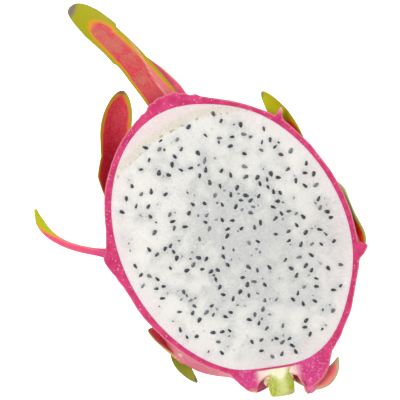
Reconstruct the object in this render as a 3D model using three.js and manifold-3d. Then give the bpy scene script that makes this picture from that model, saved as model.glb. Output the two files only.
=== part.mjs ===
// Half of a white-fleshed dragon fruit, cut lengthwise and lying on its skin with the cut face up.
// Millimetres, +Z up. +Y runs from the stem end to the crown, and the origin is the middle of the
// small flat spot that the fruit rests on. The rind carries its leafy scales, the flesh its seeds.
import * as THREE from "three";
import { mergeVertices } from "three/addons/utils/BufferGeometryUtils.js";
import Module from "manifold-3d";

const wasm = await Module();
wasm.setup();

// Driving dimensions of the body. The cut face is a long ellipse that leans a little to the left.
const CUT_HEIGHT = 45.7;
const SKIN_HALF_WIDTH = 47.8;
const SKIN_HALF_LENGTH = 60.6;
const SKIN_DEPTH = 46.5;
const BODY_LEAN = THREE.MathUtils.degToRad(6);
const RIND_THICKNESS = 2.9;
const PART_GAP = 0.3;

// How far a body stands above the cut face before the cut trims it.
const OVERSIZE = 6;

// Where the body is flatter than its ellipse: at the stem, low on the right and beside the crown.
const FLATS = [
  { toward: [-8, -56, 0], depth: 2.4, spread: 0.23 },
  { toward: [33, -44, 0], depth: 1.5, spread: 0.33 },
  { toward: [15, 55, 0], depth: 1.5, spread: 0.3 },
];

// Where the leafy scales converge, beyond the top of the fruit.
const CROWN = new THREE.Vector3(-6, 60, 0).normalize();

// Shoulders of skin: toward is the direction from the middle of the cut face, height how far the
// skin swells there, and tail, front and side how far the swelling runs, in radians.
const LIP_SHOULDERS = [
  { toward: [-18.2, -58, -1], height: 7, tail: 0.16, front: 0.09, side: 0.07 },
  { toward: [3.6, -63, -1], height: 11.4, tail: 0.2, front: 0.2, side: 0.13 },
  { toward: [-1, 61, -2], height: 1.6, tail: 0.1, front: 0.1, side: 0.14 },
  { toward: [-43.5, -32.5, -3.5], height: 3.4, tail: 0.14, front: 0.07, side: 0.1 },
  { toward: [39, 38, -1], height: 2, tail: 0.1, front: 0.05, side: 0.1 },
  { toward: [47, -24.6, -1], height: 2.4, tail: 0.13, front: 0.06, side: 0.14 },
];
const ROOT_SHOULDER = { height: 2, tail: 0.36, front: 0.11, side: 0.13 };

// The hollow round the stem and the stem stub that stands in it.
const HOLLOW = { centre: [-8.2, -63.2, 0], radii: [9.6, 5.9, 9], turn: -22 };
const STEM = {
  root: [-3.8, -50, 0],
  tip: [-8.45, -65.9, 0],
  profile: [[0, 0], [3.4, 0], [3.7, 7.4], [4.2, 8.8], [5, 11], [5.2, 13], [4.7, 15], [3.9, 16.5], [0, 16.6]],
  sides: 14,
  rib: 0.07,
};

// Scales that the cut shows. path is a Bezier curve from the root to the tip, with z counted from
// the cut face. face is where the inner side looks, at the root and at the tip. base and peak
// shape the outline, blunt and tip keep the tip broad, cup raises the margins, and thick swells
// the blade.
const SHOWN_SCALES = [
  // The long scale at the crown.
  {
    path: [[-2.4, 54, -8], [-6.2, 74, -2.5], [-9.8, 93, -2.5], [-20.8, 113.5, -13]],
    face: [[0.15, 0, 1], [0.1, 0.3, 1]],
    width: 12.2, base: 1, peak: 0.66, blunt: 3, tip: 0.32, cup: 0.12, shoulder: 0,
  },
  // The scale behind it.
  {
    path: [[3.5, 52, -10], [3.2, 64, -8.5], [0.3, 76, -8], [-5, 89, -11]],
    face: [[0.5, 0, 1], [0.5, 0, 1]],
    width: 10, base: 1, peak: 0.3, blunt: 1.6, cup: 0.2, shoulder: 0,
  },
  // The scale on the upper left, which lies against the crown.
  {
    path: [[-39.5, 30, -16], [-34.5, 47, -10], [-27.5, 60, -9], [-15.2, 73, -12]],
    face: [[0.8, -0.3, 0.7], [0.15, -0.3, 1]],
    width: 13.6, base: 0.8, peak: 0.6, blunt: 3, tip: 0.28, cup: 0.22, shoulder: 1,
  },
  // The curled scale on the left, which the knife halved.
  {
    path: [[-43, 12, 0], [-55.5, 20, 0], [-70.5, 27.5, 0], [-67, 43.5, -1]],
    face: [[0.66, 0.75, -0.2], [0.97, 0.1, 0.22]],
    width: 22, base: 1, peak: 0.2, blunt: 1.7, cup: 0, thick: 1.6, shoulder: 1.6,
  },
  // The short scale on the lower left.
  {
    path: [[-38, -38, -8], [-41.8, -31, -6], [-44, -26.5, -5], [-46.2, -19.4, -4]],
    face: [[0.9, 0.4, 0.3], [0.93, 0.25, 0.35]],
    width: 10, base: 1, peak: 0.4, blunt: 2.2, cup: 0.25, shoulder: 2,
  },
  // The bent scale behind it, which points back to the stem.
  {
    path: [[-31, -24, -22], [-42, -32, -18], [-44.5, -38, -12], [-37.4, -46.5, -11]],
    face: [[0.6, 0.3, 0.7], [0.5, 0.7, 0.6]],
    width: 9, base: 1, peak: 0.3, blunt: 1.8, cup: 0.15, shoulder: 1,
  },
  // The scale on the upper right.
  {
    path: [[38.5, 12, -12], [41.8, 24, -11], [40.2, 37, -9.5], [36, 48, -8.5]],
    face: [[-0.9, -0.1, 0.4], [-0.6, -0.25, 0.75]],
    width: 12, base: 1, peak: 0.4, blunt: 1.8, cup: 0.2, shoulder: 1,
  },
  // The scale on the right, edge on.
  {
    path: [[42, -25.5, -9], [53, -23, -8], [44.5, -8, -8], [48.6, 2, -9]],
    face: [[-1, 0, 0.3], [-1, -0.1, 0.12]],
    width: 14, base: 1, peak: 0.3, blunt: 1.8, cup: 0.1, shoulder: 0,
  },
  // The scale round the right lip of the hollow.
  {
    path: [[0, -58, -8], [3.5, -68.5, -6], [11, -70, -5], [17.6, -62.6, -4.5]],
    face: [[0.2, 0.8, 0.5], [-0.2, 0.9, 0.5]],
    width: 13, base: 1, peak: 0.3, blunt: 1.8, cup: 0.12, shoulder: 0,
  },
];

// Scales on the hidden side follow the spiral of the whole fruit, and point to the crown.
const SPIRAL = {
  count: 44, turn: 137.5, start: 30, firstY: -52, lastY: 50, clearOfCut: 17, clearOfSpot: 19, crownCap: 0.3,
  length: 29, width: 19, lift: 6, shoulder: 2, shoulderBelow: [0.35, 0.75],
};
const SCALE_ROOT_THICKNESS = 2.6;
const SCALE_TIP_THICKNESS = 1;
const SCALE_MARGIN_THICKNESS = 0.8;
const SCALE_TIP_SHARE = 0.12;
const SCALE_STEPS = 9;
const SCALE_COLUMNS = 4;
const LIFT_OFF_TABLE = 0.4;

// Seeds at the cut face: low six-sided beads with a pointed end, about 2 mm long.
const SEEDS = {
  count: 215, length: 2.1, width: 1.35, rise: 0.4, sunk: 0.5, spacing: 2.6, draw: 2026,
  outerShare: 0.93, crowding: 0.56, highest: 48,
  outline: [[0.55, 0], [0.2, 0.42], [-0.25, 0.46], [-0.5, 0], [-0.25, -0.46], [0.2, -0.42]],
  top: -0.12, skirt: 0.02,
};

// How finely the round bodies are divided, round the rim and down to the pole.
const SKIN_GRID = [84, 15];
const INNER_GRID = [56, 9];
const HOLLOW_GRID = [20, 12];
const SAME_POINT = 1e-4;
const LARGER_THAN_FRUIT = 400;

const v3 = (p) => new THREE.Vector3(...p);

// How far the body's curve lies from the middle of the cut face in the direction u.
function curveRadius(u, inset) {
  const across = u.x * Math.cos(BODY_LEAN) + u.y * Math.sin(BODY_LEAN);
  const along = u.y * Math.cos(BODY_LEAN) - u.x * Math.sin(BODY_LEAN);
  const curve = 1 / Math.hypot(
    across / (SKIN_HALF_WIDTH - inset),
    along / (SKIN_HALF_LENGTH - inset),
    u.z / (SKIN_DEPTH - inset),
  );
  return FLATS.reduce((radius, { toward, depth, spread }) => {
    const apart = u.angleTo(v3(toward)) / spread;
    return radius - depth * Math.exp(-apart * apart);
  }, curve);
}

// A shoulder swells the skin round its direction, longer on the stem's side than towards the crown.
function shoulderHeight(u, { toward, height, tail, front, side }) {
  const middle = v3(toward).normalize();
  if (u.dot(middle) < 0) return 0;
  const ahead = CROWN.clone().addScaledVector(middle, -CROWN.dot(middle)).normalize();
  const beside = new THREE.Vector3().crossVectors(middle, ahead);
  const off = u.clone().sub(middle);
  const along = off.dot(ahead);
  const run = along / (along < 0 ? tail : front);
  const reach = off.dot(beside) / side;
  return height * Math.exp(-run * run - reach * reach);
}

function skinPoint(u, shoulders) {
  const swell = shoulders.reduce((sum, s) => sum + shoulderHeight(u, s), 0);
  return u.clone().multiplyScalar(curveRadius(u, 0) + swell);
}

// The point so many mm along the skin from the direction u towards the crown, and so far off the
// skin. Close to the crown the way turns outwards instead of over it.
function alongSkin(u, distance, lift) {
  const ahead = CROWN.clone().addScaledVector(u, -CROWN.dot(u)).normalize();
  const angle = Math.min(distance / curveRadius(u, 0), Math.max(u.angleTo(CROWN) - SPIRAL.crownCap, 0));
  const v = u.clone().multiplyScalar(Math.cos(angle)).addScaledVector(ahead, Math.sin(angle));
  const beyond = Math.max(distance - angle * curveRadius(u, 0), 0);
  return v.multiplyScalar(curveRadius(v, 0) + lift).addScaledVector(CROWN, beyond);
}

// The scales of the hidden side: each root is a turn of the spiral on, and each path hugs the skin
// and lifts off it towards its tip.
function spiralScales() {
  const found = [];
  for (let i = 0; i < SPIRAL.count; i++) {
    const around = THREE.MathUtils.degToRad((SPIRAL.start + i * SPIRAL.turn) % 360);
    const station = SPIRAL.firstY + ((SPIRAL.lastY - SPIRAL.firstY) * i) / (SPIRAL.count - 1);
    const girth = Math.sqrt(1 - (station / SKIN_HALF_LENGTH) ** 2);
    const root = new THREE.Vector3(
      SKIN_HALF_WIDTH * girth * Math.cos(around), station, -SKIN_DEPTH * girth * Math.sin(around));
    if (-root.z < SPIRAL.clearOfCut) continue;
    const u = root.clone().normalize();
    const at = (share, lift) => alongSkin(u, share * SPIRAL.length, lift).toArray();
    const [middle, tip] = [at(0.5, 0), at(1, 0)];
    if (Math.hypot(middle[0], middle[1]) < SPIRAL.clearOfSpot || -tip[2] < SPIRAL.clearOfCut) continue;
    const outward = u.clone().negate().toArray();
    found.push({
      path: [at(-0.2, -1), at(0.3, 3.2), at(0.7, 2.6), at(1, SPIRAL.lift)],
      width: SPIRAL.width, face: [outward, outward], base: 1, peak: 0.25, blunt: 1.7, cup: 0.14,
      shoulder: SPIRAL.shoulder * THREE.MathUtils.smoothstep(-u.z, ...SPIRAL.shoulderBelow),
    });
  }
  return found;
}

const SCALES = [...SHOWN_SCALES, ...spiralScales()];
const SHOULDERS = [
  ...LIP_SHOULDERS,
  ...SCALES.filter((s) => s.shoulder > 0).map((s) => ({
    ...ROOT_SHOULDER, toward: v3(s.path[0]).lerp(v3(s.path[1]), 0.35).toArray(), height: s.shoulder,
  })),
];

// A closed mesh as a solid, and a solid as a mesh's geometry.
function solidOf(geometry) {
  const bare = geometry.clone();
  bare.deleteAttribute("normal");
  bare.deleteAttribute("uv");
  const merged = mergeVertices(bare, SAME_POINT);
  return new wasm.Manifold(new wasm.Mesh({
    numProp: 3,
    vertProperties: merged.getAttribute("position").array,
    triVerts: new Uint32Array(merged.index.array),
  }));
}

function geometryOf(solid) {
  const mesh = solid.getMesh();
  const geometry = new THREE.BufferGeometry();
  geometry.setAttribute("position", new THREE.BufferAttribute(mesh.vertProperties, 3));
  geometry.setIndex(new THREE.BufferAttribute(mesh.triVerts, 1));
  geometry.computeVertexNormals();
  return geometry;
}

function meshGeometry(points, triangles) {
  const geometry = new THREE.BufferGeometry();
  geometry.setAttribute("position", new THREE.Float32BufferAttribute(points.flatMap((p) => p.toArray()), 3));
  geometry.setIndex(triangles);
  return geometry;
}

// Half an egg below the cut face: rings of points from the rim down to the pole, closed on top by
// a lid that stands lidHeight above the cut face.
function bowl(pointAt, [columns, rows], lidHeight) {
  const points = [new THREE.Vector3(0, 0, lidHeight)];
  const triangles = [];
  const ring = (row) => 1 + row * columns;
  if (lidHeight > 0) {
    for (let i = 0; i < columns; i++) {
      points.push(pointAt((i / columns) * 2 * Math.PI, 0).setZ(lidHeight));
    }
  }
  for (let row = 0; row < rows; row++) {
    for (let i = 0; i < columns; i++) {
      points.push(pointAt((i / columns) * 2 * Math.PI, ((row / rows) * Math.PI) / 2));
    }
  }
  const rings = rows + (lidHeight > 0 ? 1 : 0);
  const pole = points.push(pointAt(0, Math.PI / 2)) - 1;
  for (let i = 0; i < columns; i++) {
    const next = (i + 1) % columns;
    triangles.push(0, ring(0) + i, ring(0) + next);
    for (let row = 0; row + 1 < rings; row++) {
      const [a, b, c, d] = [ring(row) + i, ring(row) + next, ring(row + 1) + i, ring(row + 1) + next];
      triangles.push(a, c, b, b, c, d);
    }
    triangles.push(ring(rings - 1) + i, pole, ring(rings - 1) + next);
  }
  return solidOf(meshGeometry(points, triangles));
}

// The direction at a turn round the rim and a dip below it, spread evenly over the body's curve.
function direction(turn, dip) {
  return new THREE.Vector3(
    SKIN_HALF_WIDTH * Math.cos(turn) * Math.cos(dip),
    SKIN_HALF_LENGTH * Math.sin(turn) * Math.cos(dip),
    -SKIN_DEPTH * Math.sin(dip),
  ).normalize();
}

const skinBowl = () => bowl((turn, dip) => skinPoint(direction(turn, dip), SHOULDERS), SKIN_GRID, OVERSIZE);

function innerBowl(inset, lidHeight) {
  const inner = (turn, dip) => {
    const u = direction(turn, dip);
    return u.clone().multiplyScalar(curveRadius(u, inset));
  };
  return bowl(inner, INNER_GRID, lidHeight);
}

// Half the width of a scale at the share t of its length, as a share of its full half width.
function scaleOutline(t, { base, peak, blunt, tip = SCALE_TIP_SHARE }) {
  if (t < peak) return base + (1 - base) * Math.sin((t / peak) * (Math.PI / 2));
  const past = (t - peak) / (1 - peak);
  return Math.max(1 - past ** blunt, tip);
}

// One scale as a closed blade: thick at its root, thin at its margins, its margins raised towards
// its inner face, and pressed flat where it would go below the table.
function scaleBlade(scale) {
  const curve = new THREE.CubicBezierCurve3(...scale.path.map(v3));
  const faces = scale.face.map(v3);
  const points = [[], []];
  for (let row = 0; row <= SCALE_STEPS; row++) {
    const t = row / SCALE_STEPS;
    const middle = curve.getPoint(t);
    const ahead = curve.getTangent(t);
    const face = faces[0].clone().lerp(faces[1], t);
    face.addScaledVector(ahead, -face.dot(ahead)).normalize();
    const side = new THREE.Vector3().crossVectors(ahead, face);
    const width = scale.width * scaleOutline(t, scale);
    const spine = THREE.MathUtils.lerp(SCALE_ROOT_THICKNESS, SCALE_TIP_THICKNESS, t) * (scale.thick ?? 1);
    for (let column = 0; column <= SCALE_COLUMNS; column++) {
      const s = (2 * column) / SCALE_COLUMNS - 1;
      const thickness = THREE.MathUtils.lerp(spine, SCALE_MARGIN_THICKNESS, s * s);
      const at = middle.clone().addScaledVector(side, (s * width) / 2);
      at.addScaledVector(face, scale.cup * width * s * s);
      for (const [layer, sign] of [[0, 0.5], [1, -0.5]]) {
        const p = at.clone().addScaledVector(face, sign * thickness);
        p.z = Math.max(p.z, LIFT_OFF_TABLE - CUT_HEIGHT + (layer ? 0 : thickness));
        points[layer].push(p);
      }
    }
  }
  const across = SCALE_COLUMNS + 1;
  const size = points[0].length;
  const triangles = [];
  for (let row = 0; row < SCALE_STEPS; row++) {
    for (let column = 0; column < SCALE_COLUMNS; column++) {
      const a = row * across + column;
      const [b, c, d] = [a + 1, a + across, a + across + 1];
      triangles.push(a, b, d, a, d, c, size + a, size + d, size + b, size + a, size + c, size + d);
    }
  }
  const rim = [];
  for (let column = 0; column < SCALE_COLUMNS; column++) rim.push(column);
  for (let row = 0; row < SCALE_STEPS; row++) rim.push(row * across + SCALE_COLUMNS);
  for (let column = SCALE_COLUMNS; column > 0; column--) rim.push(SCALE_STEPS * across + column);
  for (let row = SCALE_STEPS; row > 0; row--) rim.push(row * across);
  rim.forEach((a, i) => {
    const b = rim[(i + 1) % rim.length];
    triangles.push(a, size + a, b, b, size + a, size + b);
  });
  return solidOf(meshGeometry([...points[0], ...points[1]], triangles));
}

function slab(low, high) {
  const box = new THREE.BoxGeometry(LARGER_THAN_FRUIT, LARGER_THAN_FRUIT, high - low);
  return solidOf(box.translate(0, 0, (low + high) / 2));
}

function hollow() {
  const egg = new THREE.SphereGeometry(1, ...HOLLOW_GRID).scale(...HOLLOW.radii);
  return solidOf(egg.rotateZ(THREE.MathUtils.degToRad(HOLLOW.turn)).translate(...HOLLOW.centre));
}

// The curved skin with its shoulders and scales, not yet cut.
function rindShell() {
  const outside = SCALES.reduce((sum, scale) => sum.add(scaleBlade(scale)), skinBowl());
  return outside.subtract(innerBowl(RIND_THICKNESS, OVERSIZE)).subtract(hollow());
}

// The cut leaves the half below it, flat on top and flat where it rests, without loose scraps.
function cutHalf(solid) {
  const half = solid.intersect(slab(-CUT_HEIGHT, 0));
  return half.decompose().sort((a, b) => b.volume() - a.volume())[0];
}

// Seeded draws, so that every build scatters the seeds alike.
function drawer(seed) {
  let state = seed;
  return () => {
    state = (Math.imul(state, 1664525) + 1013904223) >>> 0;
    return state / 2 ** 32;
  };
}

// Seeds lie scattered over the cut face, densest in the middle, with none at the edge or crown.
function seedPlaces() {
  const draw = drawer(SEEDS.draw);
  const places = [];
  while (places.length < SEEDS.count) {
    const [reach, turn, spin] = [draw(), draw() * 2 * Math.PI, draw() * 2 * Math.PI];
    const rim = direction(turn, 0);
    const share = SEEDS.outerShare * reach ** SEEDS.crowding;
    const p = rim.multiplyScalar(share * curveRadius(rim, RIND_THICKNESS));
    const clear = p.y < SEEDS.highest && places.every((q) => p.distanceTo(q.p) > SEEDS.spacing);
    if (clear) places.push({ p, spin });
  }
  return places;
}

function seedSolid({ p, spin }) {
  const points = [[SEEDS.top, 0, SEEDS.rise], [0, 0, -SEEDS.sunk]];
  SEEDS.outline.forEach(([x, y]) => points.push([x * SEEDS.length, y * SEEDS.width, -SEEDS.skirt]));
  const triangles = SEEDS.outline.flatMap((_, i) => {
    const [a, b] = [2 + i, 2 + ((i + 1) % SEEDS.outline.length)];
    return [0, a, b, 1, b, a];
  });
  const seed = meshGeometry(points.map(v3), triangles);
  return solidOf(seed.rotateZ(spin).translate(p.x, p.y, 0));
}

// Flesh: it fills the rind, and its seeds stand a little out of the cut face.
function fleshSolid() {
  const pulp = innerBowl(RIND_THICKNESS + PART_GAP, 0);
  return wasm.Manifold.union([pulp, ...seedPlaces().map(seedSolid)]);
}

// Stem: a ribbed green stub, halved by the cut, that stands on the wall of the hollow.
function stemSolid(shell) {
  const profile = STEM.profile.map(([r, h]) => new THREE.Vector2(r, h));
  const stub = new THREE.LatheGeometry(profile, STEM.sides);
  const places = stub.getAttribute("position");
  for (let i = 0; i < places.count; i++) {
    const [x, z] = [places.getX(i), places.getZ(i)];
    const rib = 1 + STEM.rib * Math.cos(3 * Math.atan2(z, x));
    places.setXYZ(i, x * rib, places.getY(i), z * rib);
  }
  const way = v3(STEM.tip).sub(v3(STEM.root)).normalize();
  stub.applyQuaternion(new THREE.Quaternion().setFromUnitVectors(new THREE.Vector3(0, 1, 0), way));
  const whole = solidOf(stub.translate(...STEM.root)).subtract(innerBowl(RIND_THICKNESS, OVERSIZE));
  const shifts = [[0, -PART_GAP, 0], [PART_GAP, 0, 0], [-PART_GAP, 0, 0]];
  return cutHalf(shifts.reduce((stem, shift) => stem.subtract(shell.translate(shift)), whole));
}

// A solid as a named mesh, lifted so that the table is at z = 0.
function piece(name, solid, colour, roughness) {
  const material = new THREE.MeshStandardMaterial({ color: colour, roughness, metalness: 0 });
  const mesh = new THREE.Mesh(geometryOf(solid), material);
  mesh.name = name;
  mesh.position.z = CUT_HEIGHT;
  return mesh;
}

const fruit = new THREE.Group();
const shell = rindShell();
fruit.add(piece("rind", cutHalf(shell), 0xd43a6a, 0.5));
fruit.add(piece("flesh", fleshSolid(), 0xece8e2, 0.35));
fruit.add(piece("stem", stemSolid(shell), 0xb4bf4a, 0.6));

export default fruit;
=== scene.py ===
# Half of a white-fleshed dragon fruit, cut lengthwise, lying on its skin with the cut face up.
# Sizes are in millimetres, with z counted from the cut face, and become metres as a mesh is made.
# +Y runs from the stem end to the crown, as in the frame.
import math

import bmesh
import bpy
import numpy as np
from mathutils import Matrix, Vector, noise


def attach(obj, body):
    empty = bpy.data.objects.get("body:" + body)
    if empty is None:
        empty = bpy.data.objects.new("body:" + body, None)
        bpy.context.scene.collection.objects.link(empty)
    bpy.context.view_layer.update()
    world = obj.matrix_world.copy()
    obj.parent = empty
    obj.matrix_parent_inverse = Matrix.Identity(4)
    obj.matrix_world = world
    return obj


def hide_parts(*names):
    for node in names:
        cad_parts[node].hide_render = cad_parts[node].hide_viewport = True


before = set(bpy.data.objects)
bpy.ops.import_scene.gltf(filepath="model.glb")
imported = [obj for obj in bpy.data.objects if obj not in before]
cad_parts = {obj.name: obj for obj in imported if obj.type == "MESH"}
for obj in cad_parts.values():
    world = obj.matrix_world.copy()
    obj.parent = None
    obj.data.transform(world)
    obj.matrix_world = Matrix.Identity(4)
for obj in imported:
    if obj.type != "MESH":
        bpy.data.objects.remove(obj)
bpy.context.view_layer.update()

# Flesh: the moist white pulp that fills the rind up to the cut and is grown onto it all round. The
# knife left its face nearly flat, with feathery fibres, bluish mottling where seeds lie deep, and a
# pink tinge towards the rind.

# The fruit's curve, which every piece follows: the cut face is a long ellipse that leans a little to
# the left, the half hangs below it like a bowl, and a few places are flatter than the ellipse.
MM = 0.001
SEAM_MERGE = 1e-7
CUT_HEIGHT = 45.7
SKIN_HALF_WIDTH = 47.8
SKIN_HALF_LENGTH = 60.6
SKIN_DEPTH = 46.5
BODY_LEAN = math.radians(6)
RIND_THICKNESS = 2.9
FLATS = [
    {"toward": (-8, -56, 0), "depth": 2.4, "spread": 0.23},
    {"toward": (33, -44, 0), "depth": 1.5, "spread": 0.33},
    {"toward": (15, 55, 0), "depth": 1.5, "spread": 0.3},
]


def unit(vector):
    vector = np.asarray(vector, float)
    return vector / np.linalg.norm(vector, axis=-1, keepdims=True)


def curve_radius(heading, inset):
    across = heading[..., 0] * math.cos(BODY_LEAN) + heading[..., 1] * math.sin(BODY_LEAN)
    along = heading[..., 1] * math.cos(BODY_LEAN) - heading[..., 0] * math.sin(BODY_LEAN)
    radius = 1 / np.sqrt(
        (across / (SKIN_HALF_WIDTH - inset)) ** 2
        + (along / (SKIN_HALF_LENGTH - inset)) ** 2
        + (heading[..., 2] / (SKIN_DEPTH - inset)) ** 2
    )
    for flat in FLATS:
        apart = np.arccos(np.clip(heading @ unit(flat["toward"]), -1, 1)) / flat["spread"]
        radius = radius - flat["depth"] * np.exp(-apart * apart)
    return radius


def direction(turn, dip):
    turn, dip = np.broadcast_arrays(np.asarray(turn, float), np.asarray(dip, float))
    return unit(np.stack([
        SKIN_HALF_WIDTH * np.cos(turn) * np.cos(dip),
        SKIN_HALF_LENGTH * np.sin(turn) * np.cos(dip),
        -SKIN_DEPTH * np.sin(dip),
    ], axis=-1))


def smooth(value, low, high):
    share = np.clip((np.asarray(value, float) - low) / (high - low), 0, 1)
    return share * share * (3 - 2 * share)


def rough(points, size, seed=0.0):
    """Smooth noise between -1 and 1 at each point, with features of about the size in mm."""
    flat = np.asarray(points, float).reshape(-1, 3) / size + seed
    return np.array([noise.noise(Vector(point)) for point in flat]).reshape(np.shape(points)[:-1])


def relief(points, layers):
    """Layers of rough noise, each with its height, its size and its seed."""
    return sum(height * rough(points, size, seed) for height, size, seed in layers)


def closed_piece(name, rings, start, end, attributes, bands=()):
    """A closed piece. It starts as a flat grid with a row for each ring, which is rolled up to where
    the piece's surface runs and merged along its seam and at its two ends. attributes give a value
    for each ring point, and bands say from which ring on each further material is worn."""
    rings = np.asarray(rings, float)
    rows, columns = rings.shape[:2]
    shape = bmesh.new()
    bmesh.ops.create_grid(shape, x_segments=columns, y_segments=rows + 1, size=1.0)
    mesh = bpy.data.meshes.new(name)
    shape.to_mesh(mesh)
    shape.free()
    centre = np.empty(len(mesh.polygons) * 3)
    mesh.polygons.foreach_get("center", centre)
    face_row = (centre[1::3] + 1) / 2 * (rows + 1)
    worn = sum([face_row > ring + 1 for ring in bands], np.zeros(len(face_row), int))
    mesh.polygons.foreach_set("material_index", worn)
    at = np.empty(len(mesh.vertices) * 3)
    mesh.vertices.foreach_get("co", at)
    row = np.rint((at[1::3] + 1) / 2 * (rows + 1)).astype(int)
    column = np.rint((at[0::3] + 1) / 2 * columns).astype(int) % columns
    first, last = (np.broadcast_to(end_point, (1, columns, 3)) for end_point in (start, end))
    laid = np.concatenate([first, rings, last])[row, column] + (0, 0, CUT_HEIGHT)
    mesh.vertices.foreach_set("co", (laid * MM).reshape(-1))
    for key, values in attributes.items():
        values = np.broadcast_to(values, (rows, columns))
        first, last = (np.full((1, columns), values[side].mean()) for side in (0, -1))
        laid = np.concatenate([first, values, last])[row, column]
        mesh.attributes.new(key, "FLOAT", "POINT").data.foreach_set("value", laid)
    mesh.polygons.foreach_set("use_smooth", np.ones(len(mesh.polygons), bool))
    shape = bmesh.new()
    shape.from_mesh(mesh)
    bmesh.ops.remove_doubles(shape, verts=shape.verts, dist=SEAM_MERGE)
    if shape.calc_volume(signed=True) < 0:
        bmesh.ops.reverse_faces(shape, faces=shape.faces)
    shape.to_mesh(mesh)
    shape.free()
    piece = bpy.data.objects.new(name, mesh)
    bpy.context.scene.collection.objects.link(piece)
    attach(piece, "root")
    return piece


def rgb(code):
    """The linear colour of a web colour."""
    shares = [int(code[i:i + 2], 16) / 255 for i in (1, 3, 5)]
    linear = [share / 12.92 if share <= 0.04045 else ((share + 0.055) / 1.055) ** 2.4 for share in shares]
    return (*linear, 1.0)


class Shade:
    """What a node puts out. Sums and products of it add the nodes that work them out."""

    def __init__(self, paint, socket):
        self.paint, self.socket = paint, socket

    def __add__(self, other):
        return self.paint.calc("ADD", self, other)

    def __sub__(self, other):
        return self.paint.calc("SUBTRACT", self, other)

    def __rsub__(self, other):
        return self.paint.calc("SUBTRACT", other, self)

    def __mul__(self, other):
        return self.paint.calc("MULTIPLY", self, other)

    def __truediv__(self, other):
        return self.paint.calc("DIVIDE", self, other)

    def __abs__(self):
        return self.paint.calc("ABSOLUTE", self)


class Painter:
    """Adds nodes to a tree. An input that is a shade or a socket is linked, and any other is set. A
    web colour may stand for a colour."""

    def __init__(self, tree):
        self.tree = tree

    def add(self, kind, inputs, out=0, **settings):
        node = self.tree.nodes.new("ShaderNode" + kind)
        for key, value in settings.items():
            setattr(node, key, value)
        for key, value in inputs.items():
            self.give(value, node.inputs[key])
        return Shade(self, node.outputs[out])

    def give(self, value, into):
        value = getattr(value, "socket", value)
        if isinstance(value, bpy.types.NodeSocket):
            self.tree.links.new(value, into)
        else:
            into.default_value = rgb(value) if isinstance(value, str) else value

    def calc(self, operation, a, b=0.0, clamp=False):
        return self.add("Math", {0: a, 1: b}, operation=operation, use_clamp=clamp)

    def mix(self, share, a, b, blend="MIX"):
        return self.add("Mix", {0: share, 6: a, 7: b}, out=2, data_type="RGBA", blend_type=blend)

    def ramp(self, value, low, high, start=0.0, end=1.0):
        inputs = {"Value": value, "From Min": low, "From Max": high, "To Min": start, "To Max": end}
        return self.add("MapRange", inputs, interpolation_type="SMOOTHSTEP")

    def places(self):
        """Object coordinates in millimetres."""
        return self.stretch(self.add("TexCoord", {}, out="Object"), (1 / MM, 1 / MM, 1 / MM))

    def vector(self, operation, a, b=(0, 0, 0), out=0):
        return self.add("VectorMath", {0: a, 1: b}, out=out, operation=operation)

    def stretch(self, places, by):
        return self.vector("MULTIPLY", places, by)

    def cloud(self, places, scale, detail=3.0, roughness=0.5, distortion=0.0):
        inputs = {"Vector": places, "Scale": scale, "Detail": detail, "Roughness": roughness,
                  "Distortion": distortion}
        return self.add("TexNoise", inputs, out="Fac")

    def dots(self, places, scale, out="Distance"):
        return self.add("TexVoronoi", {"Vector": places, "Scale": scale}, out=out)

    def near(self, places, point, radius):
        """1 at the point and 0 from the radius on."""
        return self.ramp(self.vector("DISTANCE", places, point, out="Value"), radius, 0.0)

    def attribute(self, name):
        return self.add("Attribute", {}, out="Fac", attribute_name=name)


def material(name, roughness, specular=0.5, coat=0.0, subsurface=0.0):
    """A material with its constants set on the shader, its painter, and a way to finish it."""
    made = bpy.data.materials.new(name)
    made.use_nodes = True
    shader = made.node_tree.nodes["Principled BSDF"]
    shader.inputs["Roughness"].default_value = roughness
    shader.inputs["Specular IOR Level"].default_value = specular
    shader.inputs["Coat Weight"].default_value = coat
    shader.inputs["Coat Roughness"].default_value = 0.15
    shader.inputs["Subsurface Weight"].default_value = subsurface
    shader.inputs["Subsurface Radius"].default_value = (0.0025, 0.0012, 0.0008)
    shader.inputs["Subsurface Scale"].default_value = 1.0
    paint = Painter(made.node_tree)

    def finish(colour, height=None, distance=0.0002, strength=0.5):
        paint.give(colour, shader.inputs["Base Color"])
        if height is not None:
            inputs = {"Strength": strength, "Distance": distance, "Height": height}
            paint.give(paint.add("Bump", inputs), shader.inputs["Normal"])
        return made

    return paint, finish


# Where the seeds lie: scattered by a seeded draw, densest in the middle of the face. The first
# ones lie where the solid has them. The rest are smaller and deeper in the pulp.
SEEDS = {"count": 215, "extra": 95, "length": 2.2, "width": 1.36, "spacing": 2.6, "extra_spacing": 1.7,
         "draw": 2026, "outer_share": 0.93, "crowding": 0.56, "highest": 48}


def drawer(state):
    while True:
        state = (state * 1664525 + 1013904223) % 2 ** 32
        yield state / 2 ** 32


def seed_places():
    draw = drawer(SEEDS["draw"])
    places = []
    while len(places) < SEEDS["count"] + SEEDS["extra"]:
        reach, turn, spin = next(draw), next(draw) * 2 * math.pi, next(draw) * 2 * math.pi
        rim = direction(turn, 0.0)
        place = rim * SEEDS["outer_share"] * reach ** SEEDS["crowding"] * curve_radius(rim, RIND_THICKNESS)
        apart = SEEDS["spacing"] if len(places) < SEEDS["count"] else SEEDS["extra_spacing"]
        if place[1] < SEEDS["highest"] and all(np.linalg.norm(place - other) > apart for other, _ in places):
            places.append((place, spin))
    return places


FACE_ROWS, BOWL_ROWS, FLESH_TURNS = 70, 24, 420
FACE_ROW_CROWDING = 0.9
FACE_RELIEF = [(0.12, 9, 1.7), (0.06, 2.5, 4.4)]
LEVEL_RIM = 0.04
SEAM_OVERLAP = 0.05
SEED_HALO, MOST_HALO = 1.9, 1.4
SHARP_ANGLE = math.radians(50)


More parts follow.
